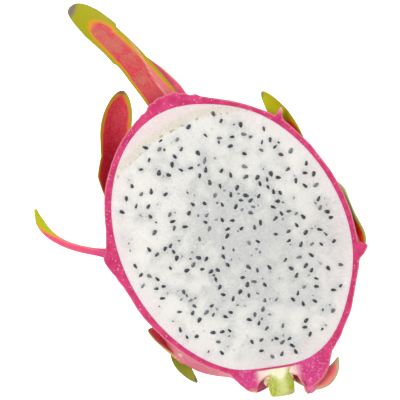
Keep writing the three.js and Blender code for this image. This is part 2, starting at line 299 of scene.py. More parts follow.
def flesh_piece():
    turns = np.arange(FLESH_TURNS) / FLESH_TURNS * 2 * math.pi
    rim = direction(turns, 0.0)
    edge = curve_radius(rim, RIND_THICKNESS - SEAM_OVERLAP)
    rings, from_rim, near_seed = [], [], []
    for row in range(1, FACE_ROWS + 1):
        share = (row / FACE_ROWS) ** FACE_ROW_CROWDING
        place = rim * (edge * share)[:, None]
        place[:, 2] = smooth(1 - share, 0, LEVEL_RIM) * relief(place, FACE_RELIEF)
        rings.append(place)
        from_rim.append(edge * (1 - share))
        near = sum(np.exp(-((place - seed) ** 2).sum(-1) / SEED_HALO ** 2) for seed, _ in seeds_at)
        near_seed.append(np.minimum(near, MOST_HALO))
    for row in range(1, BOWL_ROWS):
        heading = direction(turns, math.pi / 2 * row / BOWL_ROWS)
        rings.append(heading * curve_radius(heading, RIND_THICKNESS - SEAM_OVERLAP)[:, None])
        from_rim.append(edge * 0)
        near_seed.append(edge * 0)
    under = (0, 0, -(SKIN_DEPTH - RIND_THICKNESS + SEAM_OVERLAP))
    values = {"from_rim": np.array(from_rim), "near_seed": np.array(near_seed)}
    piece = closed_piece("flesh_body", rings, (0, 0, 0), under, values)
    piece.data.set_sharp_from_angle(angle=SHARP_ANGLE)
    return piece


FLESH_ZONES = [
    {"at": (-41, 17, 0), "radius": 9.0, "share": 0.6, "tint": "#BDBAC2"},
    {"at": (-8, -50, 0), "radius": 15.0, "share": 0.8, "tint": "#C3BBBE"},
    {"at": (8, -53, 0), "radius": 10.0, "share": 0.6, "tint": "#CDC2C8"},
    {"at": (38, -14, 0), "radius": 21.0, "share": 0.9, "tint": "#AFA4A9"},
    {"at": (38, 8, 0), "radius": 12.0, "share": 0.5, "tint": "#CFC4C8"},
    {"at": (30, -32, 0), "radius": 14.0, "share": 0.4, "tint": "#CFC3CA"},
    {"at": (-37, 31, 0), "radius": 10.0, "share": 0.3, "tint": "#CFCBCF"},
]


def flesh_material():
    paint, finish = material("flesh", roughness=0.42, coat=0.08, subsurface=0.1)
    places = paint.places()
    from_rim = paint.attribute("from_rim")
    x, y = (paint.add("SeparateXYZ", {0: places}, out=key) for key in ("X", "Y"))
    flat = paint.add("CombineXYZ", {0: x, 1: y})
    soft = paint.cloud(flat, 0.075, detail=4)
    patches = paint.cloud(flat, 0.16, detail=5, roughness=0.62, distortion=1.2)
    feathery = paint.cloud(flat, 0.62, detail=9, roughness=0.78, distortion=3.4)
    outward = paint.stretch(paint.vector("NORMALIZE", flat), (16.0, 16.0, 16.0))
    farther = paint.add("CombineXYZ", {2: paint.vector("LENGTH", flat, out="Value") * 0.16})
    outward = paint.vector("ADD", outward, farther)
    fibres = paint.cloud(outward, 1.6, detail=6, roughness=0.6, distortion=1.4)
    near_rind = paint.ramp(from_rim, 22.0, 3.0)
    colour = paint.mix(paint.ramp(feathery, 0.33, 0.64), "#D8D3C7", "#FFFFF8")
    colour = paint.mix(paint.ramp(patches, 0.42, 0.62, 0.0, 0.4), colour, "#FCF9F2")
    centre = paint.vector("DISTANCE", paint.stretch(flat, (1.0, 0.62, 1.0)), (3, -3, 0), out="Value")
    grey = patches * 0.7 + feathery + paint.attribute("near_seed") * 0.26
    grey = grey + paint.ramp(centre, 38.0, 4.0) * 0.34 + (soft - 0.5) * 0.8 + fibres * near_rind * 0.13
    colour = paint.mix(paint.ramp(grey, 0.86, 1.32, 0.0, 0.95), colour, "#A2A8AA")
    for zone in FLESH_ZONES:
        share = paint.near(flat, zone["at"], zone["radius"]) * zone["share"]
        share = share * paint.ramp(feathery, 0.3, 0.6, 0.5, 1.0)
        colour = paint.mix(share, colour, zone["tint"])
    blush = paint.ramp(from_rim, 9.0, 0.3) * paint.ramp(fibres, 0.25, 0.65, 0.35, 1.0)
    colour = paint.mix(blush * 0.6, colour, "#E8C6D1")
    hem = paint.ramp(from_rim - fibres * 0.8, 0.5, -0.3, 0.0, 0.6)
    colour = paint.mix(hem, colour, "#DB8FB2")
    upward = y + x * x * 0.008 + soft * 2.5
    colour = paint.mix(paint.ramp(upward, 51.5, 55.0) * 0.75, colour, "#EFC3CA")
    band = paint.ramp(upward, 49.4, 51.6) * paint.ramp(upward, 54.8, 52.6)
    band = band * paint.ramp(feathery, 0.3, 0.6, 0.6, 1.0)
    colour = paint.mix(band * 0.9, colour, "#CDB994")
    for scale, radius, share in ((0.27, 0.26, 0.55), (0.36, 0.22, 0.4), (0.5, 0.22, 0.3)):
        draw = paint.add("SeparateColor", {0: paint.dots(flat, scale, out="Color")}, out="Red")
        sunk = paint.ramp(paint.dots(flat, scale), radius, radius * 0.3) * paint.ramp(draw, 0.4, 0.85)
        sunk = sunk * paint.ramp(from_rim, 3.0, 8.0) * share * paint.ramp(upward, 50.0, 46.0)
        colour = paint.mix(sunk, colour, "#737B84")
    for spot in ((38.4, 8.9, 0), (38.0, 6.6, 0)):
        colour = paint.mix(paint.near(flat, spot, 0.9) * 0.6, colour, "#D79A86")
    strands = paint.ramp(fibres, 0.54, 0.66, 0.0, 0.6) * near_rind
    for scale, seed in ((0.45, 3.0), (0.7, 11.0), (1.0, 23.0)):
        hairs = paint.vector("ADD", flat, (seed, seed, seed))
        hairs = paint.cloud(hairs, scale, detail=4, roughness=0.65, distortion=4.0)
        hairs = paint.ramp(abs(hairs - 0.5), 0.045, 0.006, 0.0, 0.8)
        strands = paint.calc("MAXIMUM", strands, hairs)
    colour = paint.mix(strands, colour, "#FBF8F2")
    line = paint.ramp(upward, 49.5, 50.3) * paint.ramp(upward, 51.2, 50.4)
    line = line * paint.ramp(paint.cloud(flat, 0.5), 0.5, 0.62)
    colour = paint.mix(line * 0.75, colour, "#B08A5C")
    shade = paint.cloud(paint.stretch(flat, (0.7, 1.2, 1.0)), 0.8, detail=4, roughness=0.65, distortion=4.0)
    shade = paint.ramp(abs(shade - 0.48), 0.05, 0.008, 0.0, 0.5)
    colour = paint.mix(shade * paint.ramp(centre, 56.0, 10.0), colour, "#A9ADAE")
    glints = paint.ramp(paint.dots(flat, 1.0), 0.32, 0.1) * paint.ramp(from_rim, 2.2, 0.3)
    glints = glints * paint.ramp(paint.cloud(flat, 0.25), 0.46, 0.56, 0.0, 0.85)
    colour = paint.mix(glints, colour, "#FFFFFF")
    return finish(colour, feathery * 1.6 + (fibres + strands), distance=0.0003, strength=0.45)


seeds_at = seed_places()
flesh = flesh_piece()
flesh.data.materials.append(flesh_material())
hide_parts("flesh")


# Seeds: hard, dark and glossy teardrops, each half sunk in the face of the pulp that it grew in.
# Some lie deeper, and look grey through it. A pair of values is for the first seeds and the others.
SEED_RINGS, SEED_SIDES = 7, 8
SEED_POINT, SEED_FLATNESS, SEED_RISE = 0.34, 0.62, 0.14
SEED_SIZE, SEED_SINK, SEED_CLEAR, SEED_VEIL = (0.9, 0.6), (0.08, 0.26), (0.76, 0.1), (2, 1)
SIZE_RANGE, SINK_RANGE, TILT_RANGE, SLIM_RANGE, SLIMMEST = 0.28, 0.14, 0.5, 0.3, 0.74


def seeds_piece():
    """All seeds as one mesh. Each starts as a small ball, is drawn out to a point at one end, and is
    then sized, turned and sunk in its place."""
    draw = drawer(SEEDS["draw"] + 1)
    shape = bmesh.new()
    veiled = shape.verts.layers.float.new("veil")
    for number, (place, spin) in enumerate(seeds_at):
        late = number >= SEEDS["count"]
        size = SEED_SIZE[late] + SIZE_RANGE * next(draw)
        sink = SEED_SINK[late] + SINK_RANGE * next(draw)
        tilt = TILT_RANGE * (next(draw) - 0.5)
        slim = SLIMMEST + SLIM_RANGE * next(draw)
        veil = max(next(draw) - SEED_CLEAR[late], 0) * SEED_VEIL[late]
        ball = bmesh.ops.create_uvsphere(shape, u_segments=SEED_SIDES, v_segments=SEED_RINGS, radius=1.0)
        for vert in ball["verts"]:
            point = 1 - SEED_POINT * vert.co.z
            vert.co.x, vert.co.y = vert.co.x * point, vert.co.y * point
            vert[veiled] = veil
        half = SEEDS["width"] * size * slim / 2
        sized = Matrix.Diagonal((SEED_FLATNESS * half, half, SEEDS["length"] * size / 2, 1))
        turned = Matrix.Rotation(spin, 4, "Z") @ Matrix.Rotation(math.pi / 2 + tilt, 4, "Y")
        at = Matrix.Translation(Vector(place) + Vector((0, 0, SEED_RISE - sink + CUT_HEIGHT)))
        bmesh.ops.transform(shape, matrix=Matrix.Scale(MM, 4) @ at @ turned @ sized, verts=ball["verts"])
    for face in shape.faces:
        face.smooth = True
    mesh = bpy.data.meshes.new("seeds")
    shape.to_mesh(mesh)
    shape.free()
    piece = bpy.data.objects.new("seeds", mesh)
    bpy.context.scene.collection.objects.link(piece)
    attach(piece, "root")
    return piece


def seed_material():
    paint, finish = material("seed", roughness=0.22, coat=0.45)
    places = paint.places()
    tone = paint.cloud(places, 0.6, detail=2)
    fine = paint.cloud(places, 6.0, detail=2)
    colour = paint.mix(paint.ramp(tone, 0.35, 0.65), "#141921", "#2C343F")
    colour = paint.mix(paint.ramp(fine, 0.6, 0.8, 0.0, 0.3), colour, "#5A6470")
    colour = paint.mix(paint.attribute("veil"), colour, "#A4A9AE")
    return finish(colour, fine, distance=0.00005, strength=0.3)


seeds = seeds_piece()
seeds.data.materials.append(seed_material())
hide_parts("flesh")


# Rind: the leathery pink skin, one closed shell with its inner wall, the ring that the knife laid
# bare and the outer skin. The hollow at the stem end is sunk into it, and a torn collar stands where
# the crown's scales begin.
HOLLOW = {"centre": (-7.5, -63.4, 0), "radii": (10.4, 5.9, 27), "turn": math.radians(-22)}
TURNS = 640
INNER_ROWS, RING_ROWS, SKIN_ROWS = 14, 9, 84
SKIN_ROW_CROWDING = 1.25
SKIN_RELIEF = [(0.35, 7, 3.1), (0.12, 1.8, 9.2)]
RING_RELIEF, RING_SUNK = [(0.05, 2.2, 5)], 0.02
HOLLOW_FADE, HOLLOW_MARGIN, HOLLOW_WALL = 31, 0.6, 0.9
COLLAR = {"middle": 91, "spread": 12, "height": 2.2, "depth": 0.05, "ragged": [(0.9, 2.6, 2)],
          "torn": [(0.6, 0.9, 6)], "least": 0.7}
CROWN = unit((-6, 60, 0))

# How wide the cut ring is at each bearing, in degrees round the middle of the cut face. Where the
# body is wider than that, its skin shows beside the ring. At the scales' roots and the hollow's
# lips the ring is as wide as the body.
RING_WIDTHS = [
    (0, 2.4), (25, 2.4), (36, 2.5), (41, 2.6), (43.4, 3.8), (44.7, 9), (45.6, 2.4), (65, 2.1),
    (78, 3), (84, 9), (103, 9), (110, 3.1), (135, 3.0), (156, 3.3), (160, 9), (168, 9), (173, 4.4),
    (180, 3.2), (186, 3), (200, 2.8), (216, 2.4), (232, 2.2), (244, 2.4), (246, 4.2), (248, 6.3),
    (250.8, 8.7), (254, 9.6), (257, 99), (268, 99), (271, 12.1), (274.2, 11.2), (276.8, 10.2),
    (280.6, 8), (283, 6.4), (286, 3.8), (290, 3.2), (298, 2.7), (316, 2.4), (325, 2.8), (328.5, 5),
    (331.4, 9), (332.8, 2.4), (360, 2.4),
]
RING_TEETH = [
    {"bearing": 44.7, "before": 1.2, "after": 0.55, "height": 2.0},
    {"bearing": 331.8, "before": 3, "after": 0.9, "height": 1.0},
]
RING_EDGE_DEPTH = 0.075

# The scales that grow out of the rind, which swells round their roots. Each is a blade along a
# curve from its root to its tip. face is where the inner side looks at the root and at the tip, base
# (1 where none is given) and peak shape the outline, blunt keeps the tip broad, round rounds it and
# cup raises the margins. spine is its thickness, crease a fold along the blade, and left and right
# widen or nick its margins. look has a value for each name in LOOK: six colours, how wide the green
# margin is, where the tip begins and how dry it is.
LOOK = ("Centre", "Deep", "Between", "Green", "Root", "Outside", "Margin", "Tip", "Dry")
SHOWN_SCALES = [
    {"name": "scale_crown_long",
     "path": [(-2.4, 54, -8), (-6.2, 74, -2.5), (-9.8, 93, -2.5), (-20.8, 113.5, -13)],
     "width": 12.2, "face": [(0.15, 0, 1), (0.1, 0.3, 1)], "peak": 0.66, "blunt": 2.7,
     "round": 0.42, "cup": 0.12, "shoulder": 0,
     "crease": [(0.08, 0.5), (0.2, 0.47), (0.3, 0.53), (0.44, 0.79), (0.54, 0.9), (0.64, 1.05)],
     "left": [(0, 0.85), (0.44, 0.78), (0.5, 0.8), (0.515, 0.9), (0.61, 0.9), (0.78, 1), (1, 0.9)],
     "right": [(0, 1.4), (0.13, 1.33), (0.3, 1.2), (0.44, 1.12), (0.69, 0.98), (0.705, 1.12),
               (0.78, 1.05), (1, 1.1)],
     "look": ("#CE3642", "#C26458", "#E0940A", "#A09C00", "#C8445C", "#C9667A", 0.36, 0.85, 0.95)},
    {"name": "scale_crown_behind",
     "path": [(4.6, 52, -10), (3.6, 64, -8.5), (-0.6, 76, -8), (-5.8, 89, -11)],
     "width": 8, "face": [(0.5, 0, 1), (0.5, 0, 1)], "peak": 0.3, "blunt": 1.6,
     "cup": 0.2, "shoulder": 0,
     "look": ("#DE4672", "#E66A85", "#EE9A98", "#F0C2B4", "#D9527E", "#D9708A", 0.16, 1.1, 0.1)},
    {"name": "scale_left_upper",
     "path": [(-39.5, 30, -16), (-34.5, 47, -10), (-27.5, 60, -9), (-15.2, 73, -12)],
     "width": 13.6, "face": [(0.8, -0.3, 0.7), (0.15, -0.3, 1)], "base": 0.8, "peak": 0.6, "blunt": 2.6,
     "round": 0.62, "cup": 0.22, "shoulder": 1,
     "left": [(0, 1), (0.15, 1.1), (0.3, 1.3), (0.45, 0.9), (0.62, 1), (1, 1)],
     "look": ("#BE1C38", "#C8384A", "#E07A18", "#A39E0A", "#B82844", "#CC6A72", 0.24, 0.99, 0.95)},
    {"name": "scale_left_curl",
     "path": [(-43, 12, 0), (-55.5, 20, 0), (-70.5, 27.5, 0), (-67, 43.5, -1)],
     "width": 22, "face": [(0.66, 0.75, -0.2), (0.97, 0.1, 0.22)], "peak": 0.2, "blunt": 1.7,
     "spine": [(0, 4.8), (0.12, 4), (0.25, 3), (0.6, 2.7), (0.78, 3.4), (0.88, 3.5), (0.96, 1.9), (1, 0.5)],
     "cup": 0, "shoulder": 1.6,
     "look": ("#EA4A74", "#F07E86", "#E8A02C", "#B6BC12", "#D23B78", "#D98070", 0.12, 0.72, 0.2)},
    {"name": "scale_left_lower",
     "path": [(-39.5, -38, -8), (-42.6, -31, -5), (-44.6, -26.5, -4), (-46.6, -19.4, -3.2)],
     "width": 6.4, "face": [(0.9, 0.35, 0.3), (0.8, 0.3, 0.55)], "base": 0.3, "peak": 0.75, "blunt": 2.4,
     "round": 0.5, "cup": 0.2, "shoulder": 2,
     "look": ("#E03058", "#E85A6A", "#D08434", "#A8943A", "#D2607A", "#D88A5C", 0.2, 0.99, 0.6)},
    {"name": "scale_left_back",
     "path": [(-31, -24, -20), (-41.5, -32, -16), (-44, -38, -11), (-38.2, -48.2, -10)],
     "round": 0.6, "width": 8.5, "face": [(0.6, 0.3, 0.7), (0.5, 0.7, 0.6)],
     "peak": 0.3, "blunt": 2.4, "cup": 0.15, "shoulder": 1,
     "look": ("#C6CE74", "#B8C45A", "#AEBE4C", "#98AE38", "#CF6A74", "#BCC25C", 0.5, 0.45, 0.9)},
    {"name": "scale_right_upper",
     "path": [(39, 12, -9), (42, 24, -7.5), (40.4, 37, -6.5), (35.6, 48.4, -6.5)],
     "round": 0.62, "width": 11, "face": [(-0.78, -0.1, 0.62), (-0.6, -0.25, 0.75)],
     "peak": 0.4, "blunt": 2.1, "cup": 0.2, "shoulder": 1,
     "look": ("#F05A28", "#E8582E", "#E8A41C", "#B6C414", "#EE3E3A", "#A8AE40", 0.32, 0.62, 0.7)},
    {"name": "scale_right",
     "path": [(42, -22, -6), (51.4, -24, -4.6), (47.4, -16, -4.6), (43.8, -8.5, -4.6),
              (52, -4, -4.6), (46.6, 3.2, -5.5)],
     "spine": [(0, 2), (0.3, 1.6), (0.6, 2), (0.85, 2.3), (1, 0.9)],
     "width": 9, "face": [(-0.85, 0, 0.55), (-1, -0.1, 0.2)], "peak": 0.3, "blunt": 1.8,
     "cup": 0.1, "shoulder": 0,
     "look": ("#E8420F", "#F06A14", "#E6A810", "#9ABC6A", "#F0501C", "#A0A850", 0.6, 0.5, 0.15)},
    {"name": "scale_stem",
     "path": [(0, -58, -8), (3.5, -69.5, -4), (12, -71, -2.8), (18, -61.6, -2.6)],
     "width": 9, "face": [(0.1, 0.75, 0.75), (-0.4, 0.7, 0.8)], "round": 0.85,
     "peak": 0.3, "blunt": 2.4, "cup": 0.12, "shoulder": 0,
     "look": ("#E8707A", "#EC8C86", "#DCA080", "#BCAC7C", "#D8506E", "#DC8A7C", 0.34, 0.92, 0.7)},
    {"name": "scale_stem_hook",
     "path": [(5.2, -60.5, -1.7), (4.6, -65.5, -1.7), (3.4, -68.6, -1.7), (0.2, -67.3, -1.9)],
     "spine": [(0, 3.4), (1, 3)], "width": 6, "face": [(0, 0, 1), (0, 0, 1)], "peak": 0.6,
     "blunt": 2.4, "round": 0.5, "cup": 0, "shoulder": 0,
     "look": ("#D6488C", "#E07AA6", "#D8708A", "#D98A7A", "#D2408A", "#CF6A7A", 0.2, 0.95, 0.1)},
    {"name": "scale_hollow_wall",
     "path": [(-14.6, -51, -6.5), (-14.8, -55, -6.5), (-14.9, -59, -6.5), (-14.8, -61.8, -7)],
     "width": 10, "face": [(0.1, -0.2, 1), (0.1, -0.2, 1)], "peak": 0.5, "blunt": 4,
     "round": 0.4, "cup": 0.05, "shoulder": 0,
     "look": ("#B8406E", "#C65A80", "#C4506E", "#C87A70", "#A83460", "#B8406E", 0.05, 1.1, 0.1)},
]
HIDDEN_LOOK = ("#CF4260", "#D96070", "#CE8A3A", "#9AA02E", "#D25A80", "#D4657E", 0.2, 0.8, 0.5)
SPIRAL = {"count": 44, "turn": 137.5, "start": 30, "first_y": -52, "last_y": 50, "clear_of_cut": 17,
          "clear_of_spot": 19, "crown_cap": 0.3, "length": 29, "width": 19, "lift": 6,
          "shoulder": 2, "shoulder_below": (0.35, 0.75)}


def along_skin(heading, distance, lift):
    """The point so far along the skin from a heading towards the crown, and so far off it."""
    ahead = unit(CROWN - heading * (CROWN @ heading))
    radius = float(curve_radius(heading, 0))
    angle = min(distance / radius, max(math.acos(heading @ CROWN) - SPIRAL["crown_cap"], 0))
    there = heading * math.cos(angle) + ahead * math.sin(angle)
    beyond = max(distance - angle * radius, 0)
    return there * (float(curve_radius(there, 0)) + lift) + CROWN * beyond


def spiral_scales():
    """The scales of the hidden side, each a turn of the spiral on from the one before."""
    found = []
    for i in range(SPIRAL["count"]):
        around = math.radians((SPIRAL["start"] + i * SPIRAL["turn"]) % 360)
        station = SPIRAL["first_y"] + (SPIRAL["last_y"] - SPIRAL["first_y"]) * i / (SPIRAL["count"] - 1)
        girth = math.sqrt(1 - (station / SKIN_HALF_LENGTH) ** 2)
        root = np.array([SKIN_HALF_WIDTH * girth * math.cos(around), station,
                         -SKIN_DEPTH * girth * math.sin(around)])
        if -root[2] < SPIRAL["clear_of_cut"]:
            continue
        heading = unit(root)
        stations = [(-0.2, -1), (0.3, 3.2), (0.7, 2.6), (1, SPIRAL["lift"])]
        path = [along_skin(heading, share * SPIRAL["length"], lift) for share, lift in stations]
        middle, tip = (along_skin(heading, share * SPIRAL["length"], 0) for share in (0.5, 1))
        if math.hypot(middle[0], middle[1]) < SPIRAL["clear_of_spot"] or -tip[2] < SPIRAL["clear_of_cut"]:
            continue
        found.append({
            "name": f"scale_hidden_{len(found) + 1}", "path": path, "width": SPIRAL["width"],
            "face": [-heading, -heading], "peak": 0.25, "blunt": 1.7, "cup": 0.14,
            "shoulder": SPIRAL["shoulder"] * float(smooth(-heading[2], *SPIRAL["shoulder_below"])),
            "look": HIDDEN_LOOK,
        })
    return found


SCALES = SHOWN_SCALES + spiral_scales()

# The shoulders of skin that swell where scales and the lips of the hollow grow out of it.
LIP_SHOULDERS = [
    {"toward": (-18.2, -58, -1), "height": 7, "tail": 0.16, "front": 0.09, "side": 0.07},
    {"toward": (3.6, -63, -1), "height": 11.4, "tail": 0.2, "front": 0.2, "side": 0.13},
    {"toward": (-1, 61, -2), "height": 1.6, "tail": 0.1, "front": 0.1, "side": 0.14},
    {"toward": (-43.5, -32.5, -3.5), "height": 2, "tail": 0.14, "front": 0.07, "side": 0.1},
    {"toward": (-34.5, -43, -3.5), "height": 2.8, "tail": 0.25, "front": 0.24, "side": 0.3},
    {"toward": (-47, 12.5, -1), "height": 2.0, "tail": 0.12, "front": 0.05, "side": 0.14},
    {"toward": (39, 38, -1), "height": 2, "tail": 0.1, "front": 0.05, "side": 0.1},
    {"toward": (47, -24.6, -1), "height": 2.4, "tail": 0.13, "front": 0.06, "side": 0.14},
]
ROOT_SHOULDER = {"tail": 0.36, "front": 0.11, "side": 0.13}
SHOULDERS = LIP_SHOULDERS + [
    {**ROOT_SHOULDER, "height": scale["shoulder"],
     "toward": np.asarray(scale["path"][0]) * 0.65 + np.asarray(scale["path"][1]) * 0.35}
    for scale in SCALES if scale["shoulder"] > 0
]


def skin_radius(heading):
    radius = curve_radius(heading, 0)
    for shoulder in SHOULDERS:
        middle = unit(shoulder["toward"])
        ahead = unit(CROWN - middle * (CROWN @ middle))
        beside = np.cross(middle, ahead)
        off = heading - middle
        along = off @ ahead
        run = along / np.where(along < 0, shoulder["tail"], shoulder["front"])
        reach = (off @ beside) / shoulder["side"]
        swell = shoulder["height"] * np.exp(-run * run - reach * reach)
        radius = radius + np.where(heading @ middle > 0, swell, 0)
    return radius


def hollow_entry(heading, radius):
    """Where the way out along a heading meets the hollow, and whether it is open from there on."""
    cos, sin = math.cos(HOLLOW["turn"]), math.sin(HOLLOW["turn"])
    turned = np.array([[cos, sin, 0], [-sin, cos, 0], [0, 0, 1]])
    way = (heading @ turned.T) / HOLLOW["radii"]
    centre = (turned @ np.asarray(HOLLOW["centre"])) / HOLLOW["radii"]
    a = (way * way).sum(-1)
    b = -2 * (way @ centre)
    spare = b * b - 4 * a * (centre @ centre - 1)
    root = np.sqrt(np.maximum(spare, 0))
    near, far = (-b - root) / (2 * a), (-b + root) / (2 * a)
    is_open = (spare > 0) & (far > radius - HOLLOW_MARGIN) & (near < radius)
    wall = curve_radius(heading, RIND_THICKNESS) + HOLLOW_WALL
    return np.where(is_open, np.maximum(near, wall), radius), is_open


def rind_piece():
    turns = np.arange(TURNS) / TURNS * 2 * math.pi
    inner = []
    for row in range(INNER_ROWS):
        heading = direction(turns, math.pi / 2 * (1 - (row + 1) / INNER_ROWS))
        inner.append(heading * curve_radius(heading, RIND_THICKNESS)[:, None])
    skin, hollow = [], []
    for row in range(SKIN_ROWS):
        dip = math.pi / 2 * (row / SKIN_ROWS) ** SKIN_ROW_CROWDING
        heading = direction(turns, dip)
        polar = np.degrees(np.arctan2(heading[:, 1], heading[:, 0]))
        collar = np.exp(-((polar - COLLAR["middle"]) / COLLAR["spread"]) ** 4)
        ragged = np.stack([polar, polar * 0, polar * 0], axis=-1)
        teeth = COLLAR["least"] + relief(ragged, COLLAR["ragged"]) + np.abs(relief(ragged, COLLAR["torn"]))
        frill = COLLAR["height"] * collar * teeth * math.exp(-(dip / COLLAR["depth"]) ** 2)
        full = skin_radius(heading)
        spare = full - curve_radius(heading, RIND_THICKNESS) - np.interp(polar % 360, *zip(*RING_WIDTHS))
        full = full - np.maximum(spare, 0) * math.exp(-(dip / RING_EDGE_DEPTH) ** 1.5)
        for tooth in RING_TEETH:
            apart = polar % 360 - tooth["bearing"]
            apart = apart / np.where(apart < 0, tooth["before"], tooth["after"])
            frill = frill + tooth["height"] * np.exp(-apart * apart - (dip / COLLAR["depth"]) ** 2)
        radius, is_open = hollow_entry(heading, full)
        place = heading * radius[:, None]
        skin.append(heading * (radius + frill + relief(place, SKIN_RELIEF))[:, None])
        hollow.append(is_open.astype(float))
    skin, hollow = np.array(skin), np.array(hollow)
    skin[0][:, 2] = 0
    skin[..., 2] = np.maximum(skin[..., 2], -CUT_HEIGHT)
    ring = []
    for row in range(1, RING_ROWS):
        share = row / RING_ROWS
        place = inner[-1] * (1 - share) + skin[0] * share
        place[:, 2] = relief(place, RING_RELIEF) - RING_SUNK
        ring.append(place)
    rings = np.concatenate([inner, ring, skin])
    width = np.linalg.norm(skin[0] - inner[-1], axis=-1)
    from_flesh = np.zeros(rings.shape[:2])
    from_skin = np.zeros(rings.shape[:2])
    for row in range(INNER_ROWS - 1, INNER_ROWS + RING_ROWS):
        share = (row - INNER_ROWS + 1) / RING_ROWS
        from_flesh[row] = width * share
        from_skin[row] = width * (1 - share)
    in_hollow = np.zeros(rings.shape[:2])
    in_hollow[-SKIN_ROWS:] = hollow
    spread = np.hanning(HOLLOW_FADE)
    faded = np.convolve(np.tile(hollow[0], 3), spread / spread.sum(), mode="same")[TURNS:2 * TURNS]
    in_hollow[INNER_ROWS - 1:INNER_ROWS + RING_ROWS - 1] = faded
    under = (0, 0, -(SKIN_DEPTH - RIND_THICKNESS))
    first = INNER_ROWS - 1 + RING_ROWS
    values = {"from_flesh": from_flesh, "from_skin": from_skin, "hollow": in_hollow}
    piece = closed_piece("rind_body", rings, under, (0, 0, -CUT_HEIGHT), values, bands=[first])
    piece.data.set_sharp_from_angle(angle=SHARP_ANGLE)
    return piece


LIP_TIPS = [
    ((-18.9, -60.4, CUT_HEIGHT), 3.0, "#CDBA72"),
    ((2.2, -69.0, CUT_HEIGHT), 2.6, "#D98A7A"),
    ((39.3, 38.9, CUT_HEIGHT), 3.4, "#F0A6B8"),
]


def cut_rind_material():
    paint, finish = material("rind_cut", roughness=0.4, specular=0.25, coat=0.05, subsurface=0.06)
    places = paint.places()
    soft = paint.cloud(places, 0.22, detail=4)
    fine = paint.cloud(places, 2.4, detail=3)
    from_flesh, from_skin = paint.attribute("from_flesh"), paint.attribute("from_skin")
    colour = paint.mix(paint.ramp(soft, 0.35, 0.65), "#C02660", "#D23C74")
    colour = paint.mix(paint.ramp(fine, 0.56, 0.74, 0.0, 0.3), colour, "#DE6C96")
    specks = paint.ramp(paint.dots(places, 0.85), 0.3, 0.1)
    some = paint.ramp(paint.cloud(places, 0.35), 0.42, 0.58, 0.0, 0.6)
    colour = paint.mix(specks * some, colour, "#F3C0D5")
    right_lip = paint.near(places, (6, -61, CUT_HEIGHT), 12.0)
    lips = paint.calc("MAXIMUM", right_lip, paint.near(places, (-18, -54, CUT_HEIGHT), 9.0))
    colour = paint.mix(lips * 0.45, colour, "#CF3C90")
    veins = paint.stretch(places, (1.2, 0.8, 1.0))
    veins = paint.cloud(veins, 0.55, detail=7, roughness=0.65, distortion=1.2)
    colour = paint.mix(lips * paint.ramp(veins, 0.5, 0.68, 0.0, 0.6), colour, "#F0B4CE")
    # Painted highlight: pale glints dotted along the ring where it meets the flesh.
    painted_glints = paint.ramp(paint.dots(places, 1.5), 0.26, 0.1) * paint.ramp(from_flesh, 1.1, 0.3)
    painted_glints = painted_glints * paint.ramp(paint.cloud(places, 0.3), 0.48, 0.58, 0.0, 0.7)
    colour = paint.mix(painted_glints, colour, "#F8DCE8")
    streaks = paint.cloud(paint.stretch(places, (0.5, 1.7, 1.0)), 0.6, detail=4, distortion=1.0)
    wall = paint.attribute("hollow") * paint.ramp(from_flesh, 0.7, 1.3)
    pale = paint.mix(paint.ramp(streaks, 0.45, 0.62), "#F3DCCB", "#F7E9DC")
    pale = paint.mix(paint.ramp(from_skin, 1.1, 0.2, 0.0, 0.9), pale, "#CFA27C")
    near_stem = paint.near(places, (-6.5, -56.8, CUT_HEIGHT), 12.5)
    colour = paint.mix(wall * paint.ramp(near_stem, 0.05, 0.4), colour, pale)
    colour = paint.mix(paint.ramp(from_flesh, 0.7, 0.0, 0.0, 0.7), colour, "#C2357A")
    grown = 1.0 - paint.near(places, (-48.0, 13.5, CUT_HEIGHT), 4.6)
    colour = paint.mix(paint.ramp(from_skin, 0.7, 0.1, 0.0, 0.7) * grown, colour, "#E08C94")
    for tip, reach, tint in LIP_TIPS:
        share = paint.near(places, tip, reach) * paint.ramp(fine, 0.3, 0.6, 0.5, 1.0)
        colour = paint.mix(share, colour, tint)
    return finish(colour, fine + soft * 2.0, distance=0.00025, strength=0.35)


def skin_material():
    paint, finish = material("rind_skin", roughness=0.46, specular=0.25, coat=0.04)
    places = paint.places()
    z = paint.add("SeparateXYZ", {0: places}, out="Z")
    broad = paint.cloud(places, 0.05, detail=3)
    streaks = paint.cloud(paint.stretch(places, (1.0, 0.22, 1.0)), 0.45, detail=4, distortion=0.6)
    fine = paint.cloud(places, 3.0, detail=2)
    colour = paint.mix(paint.ramp(broad, 0.38, 0.62), "#C24468", "#D3647A")
    colour = paint.mix(paint.ramp(z, 38.0, 44.5, 0.0, 0.7), colour, "#D0707C")
    colour = paint.mix(paint.ramp(streaks, 0.5, 0.72, 0.0, 0.5), colour, "#DC8E8E")
    colour = paint.mix(paint.ramp(fine, 0.6, 0.72, 0.0, 0.3), colour, "#E9B2AC")
    colour = paint.mix(paint.ramp(paint.dots(places, 0.33), 0.13, 0.07, 0.0, 0.45), colour, "#B0586A")
    scar = paint.near(places, (-39.3, -34.2, 44.0), 1.5)
    colour = paint.mix(paint.ramp(scar, 0.1, 0.6, 0.0, 0.8), colour, "#D8C6AE")
    colour = paint.mix(paint.ramp(scar, 0.6, 0.9, 0.0, 0.6), colour, "#B09A80")
    # The hollow's wall: a beige rim at its top, and below it a pale beige that is painted light, so that the
    # wall looks bright where it lies in shade.
    wall = paint.mix(paint.ramp(z + streaks * 1.4, 43.6, 45.9), "#C98E7C", "#E6C4A2")
    colour = paint.mix(paint.attribute("hollow"), colour, wall)
    return finish(colour, streaks * 2.0 + fine, distance=0.0003, strength=0.35)


rind = rind_piece()
rind.data.materials.append(cut_rind_material())
rind.data.materials.append(skin_material())
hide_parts("rind")


